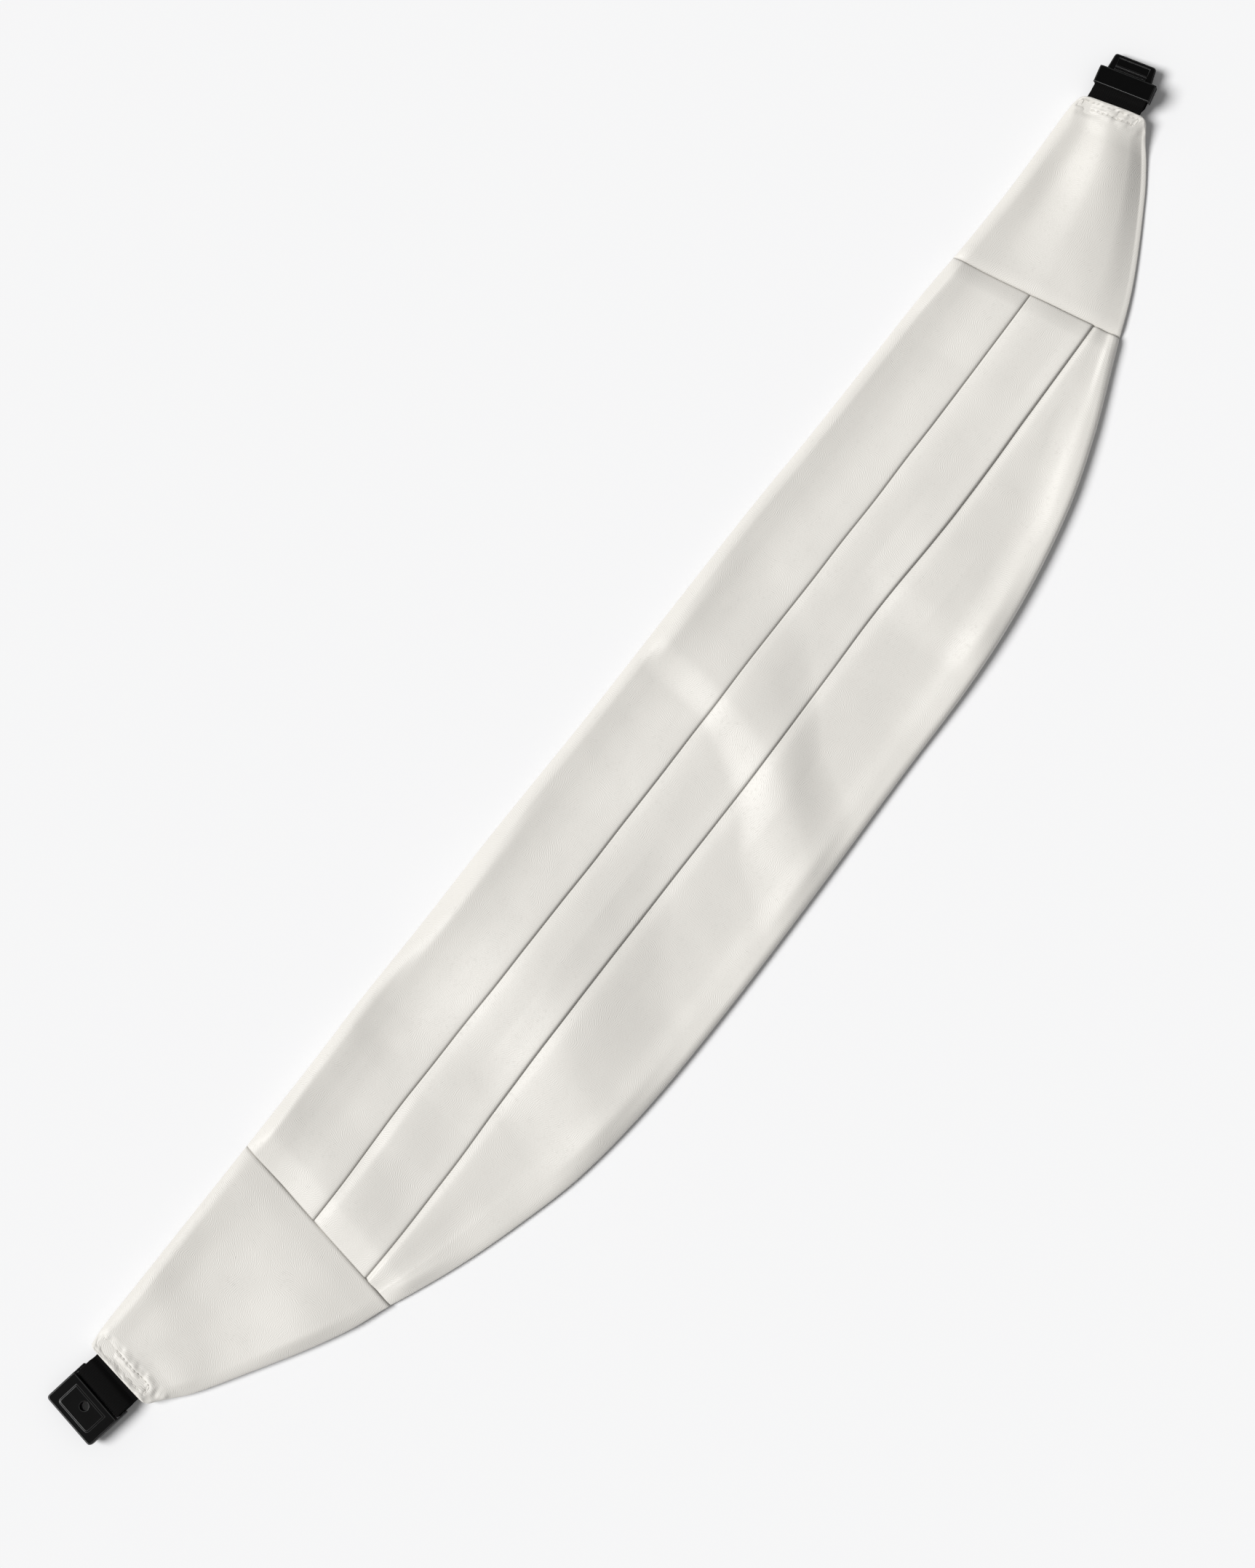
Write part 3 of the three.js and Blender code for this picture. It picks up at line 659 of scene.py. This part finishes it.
across_shares = (0.0, 0.2, 0.5, 0.8, 1.0)

# The elastic: how far its middle lies below the straight edge, as a share of the belt's
# height, and over the table; how far the clasp is, and how far inside the tab its lean fades
strap_below = 0.1435
strap_middle = 2.5 * mm
strap_to_bar = 6.6 * mm
roll_reach = 15 * mm

# What sewing does to the hem (how much, over what reach), in millimetres; needle_hole_shade is the
# painted shade in the needle holes (how dark, over what reach)
stitch_step = 2.1 * mm
stitch_groove = (0.28, 0.6)
needle_hole = (0.55, 0.4)
needle_hole_shade = (0.75, 0.38)
outer_row_pull = 0.6
pucker_reach = 5

# A tab's edges are pressed thin at the hem and roll wider away from it, in millimetres
upper_roll_at_hem = 1.9
upper_roll_more = 2.8
lower_roll_at_hem = 1.6
tab_edge_middle = 2.1 * mm
roll_fade = 14 * mm
bulge_fade = 20 * mm
wave_calm = 7 * mm
hem_calm = 9 * mm

# The cloth turned in at the hem (how far in from the hem, how far inside the face), in
# millimetres
hem_turned = np.array((
    (0.75, 0.0), (0.5, 0.02), (0.3, 0.06), (0.14, 0.12), (0.04, 0.2), (0.0, 0.3), (0.05, 0.45),
    (0.2, 0.56), (0.6, 0.6), (1.5, 0.6), (4, 0.6), (8, 0.6), (14.6, 0.6),
))


def roll_at(end, distance):
    """How far the elastic, and the cloth round it, leans at a distance past the hem."""
    inside = end["hem_roll"] * eased(1 + distance / roll_reach)
    more = end["clasp_roll"] - end["hem_roll"]
    outside = end["hem_roll"] + more * eased(distance / strap_to_bar)
    return np.where(distance < 0, inside, outside)


def pinned_edge(end, distance):
    """Offset of the elastic's edge that stays low, the one towards the straight edge."""
    at_hem = end["width"] / 2 * math.cos(end["hem_roll"])
    return at_hem + end["sway"] * end["width"] * eased(distance / strap_to_bar)


def to_end(end, x, y):
    """Distance past the hem, and offset from the elastic's middle, of places on the table."""
    dx = x - belt_start - belt_length * end["along"]
    dy = y - straight_edge + belt_height * strap_below
    cos, sin = math.cos(end["yaw"]), math.sin(end["yaw"])
    return dx * cos + dy * sin, end["side"] * (dy * cos - dx * sin)


def end_point(end, distance, offset, height):
    """The places on the table of points given as to_end gives them."""
    cos, sin = math.cos(end["yaw"]), math.sin(end["yaw"])
    x = belt_start + belt_length * end["along"] + distance * cos - end["side"] * offset * sin
    y = straight_edge - belt_height * strap_below + distance * sin + end["side"] * offset * cos
    return np.stack(np.broadcast_arrays(x, y, height), axis=-1)


def tab_lift(end, x, y):
    """How far the leaning elastic inside a tab lifts its cloth."""
    distance, offset = to_end(end, x, y)
    held = np.clip(pinned_edge(end, distance) - offset, 0, end["width"] + 1 * mm)
    return held * np.tan(roll_at(end, distance))


def box_stitches(end):
    """Needle holes of the box of stitches, as millimetres in from the hem and down it."""
    near, far = end["box_in"]
    top, bottom = end["box_down"]
    corners = ((far, top), (far, bottom), (near, bottom), (near, top), (far, top))
    holes = []
    step = stitch_step / mm
    for (in0, down0), (in1, down1) in zip(corners, corners[1:]):
        count = max(round(math.hypot(in1 - in0, down1 - down0) / step), 1)
        for i in range(count):
            share = i / count
            holes.append((in0 + (in1 - in0) * share, down0 + (down1 - down0) * share))
    jitter = np.random.default_rng(end["seed"]).uniform(-0.22, 0.22, (len(holes), 2))
    return np.array(holes) + jitter


def hem_relief(end, in_from_hem, down_hem):
    """Heights to add for the hem's grooves, needle holes and puckers, and the holes' painted shade.
    """
    holes = box_stitches(end)
    pulled = np.zeros_like(in_from_hem)
    painted_hole_shade = np.zeros_like(in_from_hem)

    def hollow(away, size):
        return size[0] * np.exp(-((away / size[1]) ** 2))

    for (in0, down0), (in1, down1) in zip(holes, np.roll(holes, -1, axis=0)):
        run_in, run_down = in1 - in0, down1 - down0
        share = np.clip(((in_from_hem - in0) * run_in + (down_hem - down0) * run_down)
                        / (run_in**2 + run_down**2), 0, 1)
        off = np.hypot(in_from_hem - in0 - share * run_in, down_hem - down0 - share * run_down)
        inner_row = in0 > sum(end["box_in"]) / 2
        tension = 1.0 if inner_row else outer_row_pull
        pulled = np.maximum(pulled, tension * hollow(off, stitch_groove))
        away = np.hypot(in_from_hem - in0, down_hem - down0)
        pulled = np.maximum(pulled, tension * hollow(away, needle_hole))
        # The needle holes are painted in shade
        if inner_row or end["side"] > 0:
            painted_hole_shade = np.maximum(painted_hole_shade, hollow(away, needle_hole_shade))
    near_hem = eased((end["box_in"][1] + pucker_reach - in_from_hem) / pucker_reach)
    pucker = unevenness(in_from_hem / 1.5, down_hem, 2.0, end["seed"]) * 0.4
    pucker = pucker + unevenness(in_from_hem, down_hem, 4.2, end["seed"] + 1) * 0.5
    for middle_in, middle_down, size_in, size_down, depth in end["dents"]:
        away_in = (in_from_hem - middle_in) / size_in
        away_down = (down_hem - middle_down) / size_down
        pucker = pucker - depth * np.exp(-(away_in**2 + away_down**2))
    return (pucker * near_hem - pulled) * mm, painted_hole_shade


def tab_rings(name):
    """Rings of one tab, from its seam to its hem and back into its mouth."""
    end = ends[name]
    seam, hem = seam_lean[name], hem_lean[name]
    reach = belt_length * abs(seam[0] - hem[0])
    in_from_hem = np.concatenate([
        reach - spaced(reach - 12 * mm, 0.9 * mm, 0.4 * mm, 4 * mm)[:-1],
        np.arange(11.9, 0.9, -0.28) * mm,
        hem_turned[:, 0] * mm,
    ])
    inset = np.zeros_like(in_from_hem)
    inset[-len(hem_turned):] = hem_turned[:, 1] * mm
    share = 1 - in_from_hem / reach
    top_share = seam[0] + (hem[0] - seam[0]) * share
    bottom_share = seam[1] + (hem[1] - seam[1]) * share
    line_top, line_bottom = edge_line(top_share, bottom_share)

    def x_at(y):
        across = (line_top - y) / (line_top - line_bottom)
        return belt_start + belt_length * (top_share + (bottom_share - top_share) * across)

    def corner(radius):
        short = np.clip(1 - in_from_hem / (radius * mm), 0, 1)
        return radius * mm * (1 - np.sqrt(1 - short**2))

    upper_corner, lower_corner = end["corners"]
    bulge = eased(in_from_hem / bulge_fade) * eased((reach - in_from_hem) / bulge_fade)
    top = line_top - corner(upper_corner)
    bottom = line_bottom + corner(lower_corner) - end["edge_out"] * mm * bulge
    fuller = eased((in_from_hem - 2 * mm) / roll_fade)
    top_roll = (upper_roll_at_hem + upper_roll_more * fuller) * mm
    bottom_roll = (lower_roll_at_hem + (end["lower_roll"] - lower_roll_at_hem) * fuller) * mm

    def face(across):
        """Height of the face at a share of the way from the top crest to the bottom one."""
        column = [smooth_curve(across_shares, row, across) for row in end["heights"]]
        return mm * smooth_curve(end["from_seam"], column, share)

    edge = tab_edge_middle
    low_edge = np.minimum(edge + (end["lower_edge"] * mm - edge) * fuller, face(1) - 0.5 * mm)

    rows = []

    def lay(y, z, facing=True, shade=0.0):
        y, z = (np.broadcast_to(part, top.shape) for part in (y, z))
        rows.append((x_at(y), y, z, facing, shade))

    # Round the section, as for the front
    for at in np.linspace(0.05, 0.95, 22):
        lay(bottom + (top - bottom) * at, underside, False)
    # The undercut below the tab's upper rim is painted in shade
    for inward, height in rim_below:
        lay(top - inward * mm, height * mm, False, upper_rim_shade)
    for angle in np.linspace(0, math.pi / 2, 11)[:-1]:
        lay(top - top_roll * (1 - math.cos(angle)), edge + (face(0) - edge) * math.sin(angle))
    upper, lower = top - top_roll, bottom + bottom_roll
    for across in np.linspace(0, 1, 110):
        lay(upper + (lower - upper) * across, face(across))
    for angle in np.linspace(0, math.pi / 2, 11)[1:]:
        y = bottom + bottom_roll * (1 - math.sin(angle))
        lay(y, low_edge + (face(1) - low_edge) * math.cos(angle))
    # The undercut below the tab's lower rim is painted in shade
    for inward, height in rim_below[::-1]:
        inward, height = (size * mm * low_edge / edge for size in (inward, height))
        lay(bottom + inward, height, False, lower_rim_shade)

    x, y, z = (np.stack([row[part] for row in rows]) for part in range(3))
    facing = np.array([row[3] for row in rows])[:, None]
    shade = np.array([row[4] for row in rows])[:, None]
    inside = np.minimum(top - y, y - bottom)
    calm = eased(inside / wave_calm) * eased(in_from_hem / hem_calm)
    z = z + facing * calm * cloth_unevenness(x, y, end["seed"] + 5)
    for along, below, size, lift in end["lumps"]:
        away = np.hypot(x - belt_start - along * belt_length,
                        y - straight_edge + below * belt_height)
        z = z + facing * calm * lift * mm * np.exp(-((away / (size * mm)) ** 2))
    z = z + tab_lift(end, x, y)
    from_seam = np.abs(x - line_x(seam, y))
    tuck_reach, tuck_sunk = end["seam_tuck"]
    z = tucked(z, from_seam, tuck_reach * mm, tuck_sunk * mm)
    hem_in = np.abs(x - line_x(hem, y)) / mm
    relief, painted_hole_shade = hem_relief(end, hem_in, (top - y) / mm)
    outer = inset == 0
    z = z + facing * relief * eased(inside / (1.2 * mm)) * outer
    # Painted shade darkens the colour along the seam, in the needle holes and under the rims
    seam_line_shade = seam_shade * np.exp(-((from_seam / seam_shade_reach) ** 2))
    painted_shade = facing * np.maximum(painted_hole_shade * outer, seam_line_shade) + shade

    # The turned-in mouth lies inside the face, square to the section's outline
    run_y = np.roll(y, -1, axis=0) - np.roll(y, 1, axis=0)
    run_z = np.roll(z, -1, axis=0) - np.roll(z, 1, axis=0)
    long = np.hypot(run_y, run_z)
    y = y - inset * run_z / long
    z = z + inset * run_y / long
    return x, y, z, painted_shade


tab_ivory = (0.715, 0.693, 0.65, 1)
tabs = {}
for name in ends:
    tabs[name] = closed_skin(name + "_tab_cloth", *tab_rings(name))
    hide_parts(name + "_tab")
    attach(tabs[name], "root")
    ridge_turn = ends[name]["ridge_turn"]
    tab_crepe = crepe_cloth(name + "_tab_crepe", tab_ivory, ridge_turn, 1.1, (0.3, 0.1, 0))
    tabs[name].data.materials.append(tab_crepe)


def on_cloth(cloth, x, y):
    """Heights of a piece's upper face at places on the table."""
    mesh = cloth.data
    points = np.empty(len(mesh.vertices) * 3)
    mesh.vertices.foreach_get("co", points)
    points = points.reshape(-1, 3)
    nearest = [
        np.argsort((points[:, 0] - px) ** 2 + (points[:, 1] - py) ** 2)[:6] for px, py in zip(x, y)
    ]
    return np.array([points[few, 2].max() for few in nearest])


thread_radius = 0.14 * mm
thread_sides = 6
thread_places = (0.06, 0.16, 0.32, 0.5, 0.68, 0.84, 0.94)

# How far a stitch bows up between its holes, how deep it is sunk in the cloth, and how much
# deeper the row nearer the hem is, in millimetres
stitch_bow = 0.16
stitch_sunk = 0.12
outer_row_sunk = 0.14


def hem_thread(name):
    """The short stitches of a hem's box, each from one needle hole to the next."""
    end, hem = ends[name], hem_lean[name]
    top, bottom = edge_line(*hem)
    holes = box_stitches(end) * mm
    y = top - holes[:, 1]
    x = line_x(hem, y) - end["side"] * holes[:, 0]
    z = on_cloth(tabs[name], x, y)
    points = np.stack([x, y, z], axis=1)
    verts, quads = [], []
    for start, stop, inward in zip(points, np.roll(points, -1, axis=0), holes[:, 0]):
        sunk = stitch_sunk + (outer_row_sunk if inward < sum(end["box_in"]) / 2 * mm else 0)
        run = stop - start
        run = run / np.linalg.norm(run)
        side = np.cross(run, (0, 0, 1))
        side = side / np.linalg.norm(side)
        rise = np.cross(side, run)
        first = len(verts)
        for share in thread_places:
            bow = math.sin(math.pi * share)
            middle = start + (stop - start) * share + rise * (stitch_bow * bow - sunk) * mm
            radius = thread_radius * (0.45 + 0.55 * math.sqrt(bow))
            for turn in range(thread_sides):
                angle = turn * 2 * math.pi / thread_sides
                verts.append(middle + radius * (math.cos(angle) * side + math.sin(angle) * rise))
        rings = [
            [first + ring * thread_sides + turn for turn in range(thread_sides)]
            for ring in range(len(thread_places))
        ]
        for ring, following in zip(rings, rings[1:]):
            for turn in range(thread_sides):
                after = (turn + 1) % thread_sides
                quads.append((ring[turn], ring[after], following[after], following[turn]))
        quads += [rings[0][::-1], rings[-1]]
    mesh = bpy.data.meshes.new(name + "_hem_thread")
    mesh.from_pydata([tuple(v) for v in verts], [], quads)
    mesh.shade_smooth()
    thread = bpy.data.objects.new(name + "_hem_thread", mesh)
    bpy.context.collection.objects.link(thread)
    return thread


for name in ends:
    thread = hem_thread(name)
    thread.data.materials.append(tabs[name].data.materials[0])
    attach(thread, "root")


# Elastics
# A stub of black ribbed elastic comes out of each tab, turns round the bar of its clasp
# half and goes back in, so two plies lie one on the other.

# Distances are from the hem, and heights from the middle between the two plies
strap_thickness = 0.9 * mm
strap_in_tab = 14 * mm
strap_past_hem = 1.2 * mm
plies_spread = 0.6 * strap_to_bar
ply_in = 0.65 * mm
ply_at_bar = 1.95 * mm
bar_far = 10 * mm
strap_gap = 0.35 * mm
selvedge_width = 0.6 * mm
rib_count = 26
rib_height = 0.09 * mm


def strap_line():
    """The elastic's middle line, as distance past the hem and height above its centre."""
    inside = np.linspace(-strap_in_tab, strap_past_hem, 30)
    inside_rise = np.full(len(inside), ply_in)
    leaving = np.linspace(0.05, 1, 10)
    to_bar = strap_past_hem + (plies_spread - strap_past_hem) * leaving
    spread = ply_in + (ply_at_bar - ply_in) * eased(leaving)
    centre = bar_far + strap_gap + 0.5 * mm - ply_at_bar
    angle = np.linspace(math.pi / 2, -math.pi / 2, 19)
    distance = np.concatenate([
        inside, to_bar, centre + ply_at_bar * np.cos(angle), to_bar[::-1], inside[::-1],
    ])
    rise = np.concatenate([
        inside_rise, spread, ply_at_bar * np.sin(angle), -spread[::-1], -inside_rise,
    ])
    return distance, rise


def elastic_rings(end):
    """Rings of one elastic, from one ply's end round the bar to the other's."""
    distance, rise = strap_line()
    run = np.stack([np.gradient(distance), np.gradient(rise)])
    run = run / np.hypot(*run)
    half = end["width"] / 2
    across = np.linspace(-half, half, 6 * rib_count + 1)
    rib_turn = 2 * math.pi * rib_count * (across + half) / end["width"]
    ribs = rib_height * (0.5 - 0.5 * np.cos(rib_turn))
    selvedge = np.sqrt(np.clip((half - np.abs(across)) / selvedge_width, 0, 1))
    thick = (strap_thickness / 2 - rib_height + ribs) * (0.25 + 0.75 * selvedge)
    places = np.concatenate([across, across[::-1]])
    out = np.concatenate([thick, -thick[::-1]])
    d = distance[None, :] - run[1][None, :] * out[:, None]
    r = rise[None, :] + run[0][None, :] * out[:, None]
    roll = roll_at(end, d)
    lean = end["clasp_roll"] * eased((d - strap_past_hem) / (plies_spread - strap_past_hem))
    inward = half - places[:, None]
    offset = pinned_edge(end, d) - inward * np.cos(roll) + r * np.sin(lean)
    height = strap_middle + inward * np.sin(roll) + r * np.cos(lean)
    points = end_point(end, d, offset, height)
    return points[..., 0], points[..., 1], points[..., 2], np.zeros_like(d)


def woven_elastic(name, yaw):
    """Black yarn whose rows run across the strap, with a little lint and sheen."""
    made, nodes, links = material(name)
    surface = set_inputs(nodes["Principled BSDF"], {"Specular IOR Level": 0.08})
    place = nodes.new("ShaderNodeTexCoord")
    turned = set_inputs(nodes.new("ShaderNodeMapping"), {"Rotation": (0, 0, -yaw)})
    links.new(place.outputs["Object"], turned.inputs["Vector"])
    rows = set_inputs(nodes.new("ShaderNodeTexWave"),
                      {"Scale": 640, "Distortion": 2.5, "Detail": 2, "Detail Scale": 3})
    lint = set_inputs(nodes.new("ShaderNodeTexNoise"), {"Scale": 1500, "Detail": 3})
    for texture in (rows, lint):
        links.new(turned.outputs["Vector"], texture.inputs["Vector"])
    yarn = nodes.new("ShaderNodeMath")
    yarn.operation = "MULTIPLY_ADD"
    links.new(lint.outputs["Fac"], yarn.inputs[0])
    yarn.inputs[1].default_value = 0.7
    links.new(rows.outputs["Fac"], yarn.inputs[2])
    tone = nodes.new("ShaderNodeValToRGB")
    tone.color_ramp.elements[0].position = 0.2
    tone.color_ramp.elements[0].color = (0.0011, 0.0010, 0.0010, 1)
    tone.color_ramp.elements[1].position = 1.0
    tone.color_ramp.elements[1].color = (0.0036, 0.0034, 0.0033, 1)
    links.new(yarn.outputs["Value"], tone.inputs["Fac"])
    links.new(tone.outputs["Color"], surface.inputs["Base Color"])
    rough = set_inputs(nodes.new("ShaderNodeMapRange"), {"To Min": 0.65, "To Max": 0.95})
    links.new(lint.outputs["Fac"], rough.inputs["Value"])
    links.new(rough.outputs["Result"], surface.inputs["Roughness"])
    relief = set_inputs(nodes.new("ShaderNodeBump"), {"Distance": 0.06 * mm})
    links.new(yarn.outputs["Value"], relief.inputs["Height"])
    links.new(relief.outputs["Normal"], surface.inputs["Normal"])
    return made


for name, end in ends.items():
    elastic = closed_skin(name + "_elastic_band", *elastic_rings(end))
    elastic.data.materials.append(woven_elastic(name + "_elastic_yarn", end["yaw"]))
    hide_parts(name + "_elastic")
    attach(elastic, "root")


# Two clasp halves
# Black moulded plastic with a satin face. The socket is a flat box with an eyelet and a
# mouth; the plug is a hood over a ribbed tongue. The mould rounds every edge a little.
flat_angle = math.radians(2)
sharp_angle = math.radians(40)
point_angle = math.radians(35)
shortest_edge = 0.15 * mm


def moulded(name, edge):
    """A copy of a CAD node with edges rounded by edge; the very short ones are closed up."""
    shape = bmesh.new()
    shape.from_mesh(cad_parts[name].data)
    bmesh.ops.remove_doubles(shape, verts=shape.verts, dist=shortest_edge)
    bmesh.ops.dissolve_limit(shape, angle_limit=flat_angle, verts=shape.verts, edges=shape.edges)
    rounded = shape.faces.layers.float.new("edge")
    sharp = {e for e in shape.edges if e.is_manifold and e.calc_face_angle() > sharp_angle}

    def runs_to_a_point(e):
        """Whether an edge meets another at a thin point, where rounding would leave a spike."""
        for corner in e.verts:
            run = e.other_vert(corner).co - corner.co
            for other in sharp.intersection(corner.link_edges) - {e}:
                if run.angle(other.other_vert(corner).co - corner.co) < point_angle:
                    return True
        return False

    sharp = [e for e in shape.edges if e in sharp and not runs_to_a_point(e)]
    made = bmesh.ops.bevel(shape, geom=sharp, offset=edge, segments=3, profile=0.5,
                           affect="EDGES", clamp_overlap=False)
    for face in made["faces"]:
        face[rounded] = 1
    mesh = bpy.data.meshes.new(name + "_moulding")
    shape.to_mesh(mesh)
    shape.free()
    mesh.shade_smooth()
    body = bpy.data.objects.new(name + "_moulding", mesh)
    bpy.context.collection.objects.link(body)
    flat_faces = body.modifiers.new("flat_faces", "WEIGHTED_NORMAL")
    flat_faces.mode = "FACE_AREA"
    flat_faces.weight = 80
    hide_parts(name)
    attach(body, "root")
    return body


def satin_plastic():
    """Black plastic with a fine grain, a few smudges and a little more shine on its edges."""
    made, nodes, links = material("satin_plastic")
    surface = set_inputs(nodes["Principled BSDF"], {"Base Color": (0.0013, 0.0013, 0.0013, 1)})
    place = nodes.new("ShaderNodeTexCoord")
    edge = nodes.new("ShaderNodeAttribute")
    edge.attribute_name = "edge"
    grain = set_inputs(nodes.new("ShaderNodeTexNoise"), {"Scale": 2600, "Detail": 3})
    smudge = set_inputs(nodes.new("ShaderNodeTexNoise"), {"Scale": 180, "Detail": 4})
    for texture in (grain, smudge):
        links.new(place.outputs["Object"], texture.inputs["Vector"])
    rough = set_inputs(nodes.new("ShaderNodeMapRange"),
                       {"From Min": 0.3, "From Max": 0.7, "To Min": 0.38, "To Max": 0.48})
    links.new(smudge.outputs["Fac"], rough.inputs["Value"])
    polished = nodes.new("ShaderNodeMath")
    polished.operation = "MULTIPLY_ADD"
    links.new(edge.outputs["Fac"], polished.inputs[0])
    polished.inputs[1].default_value = -0.06
    links.new(rough.outputs["Result"], polished.inputs[2])
    links.new(polished.outputs["Value"], surface.inputs["Roughness"])
    shine = set_inputs(nodes.new("ShaderNodeMapRange"), {"To Min": 0.035, "To Max": 0.7})
    links.new(edge.outputs["Fac"], shine.inputs["Value"])
    links.new(shine.outputs["Result"], surface.inputs["Specular IOR Level"])
    relief = set_inputs(nodes.new("ShaderNodeBump"), {"Distance": 0.006 * mm})
    links.new(grain.outputs["Fac"], relief.inputs["Height"])
    links.new(relief.outputs["Normal"], surface.inputs["Normal"])
    return made


clasp_black = satin_plastic()
for name, edge in (("socket_clasp", 0.2 * mm), ("plug_clasp", 0.12 * mm)):
    clasp = moulded(name, edge)
    clasp.data.materials.append(clasp_black)
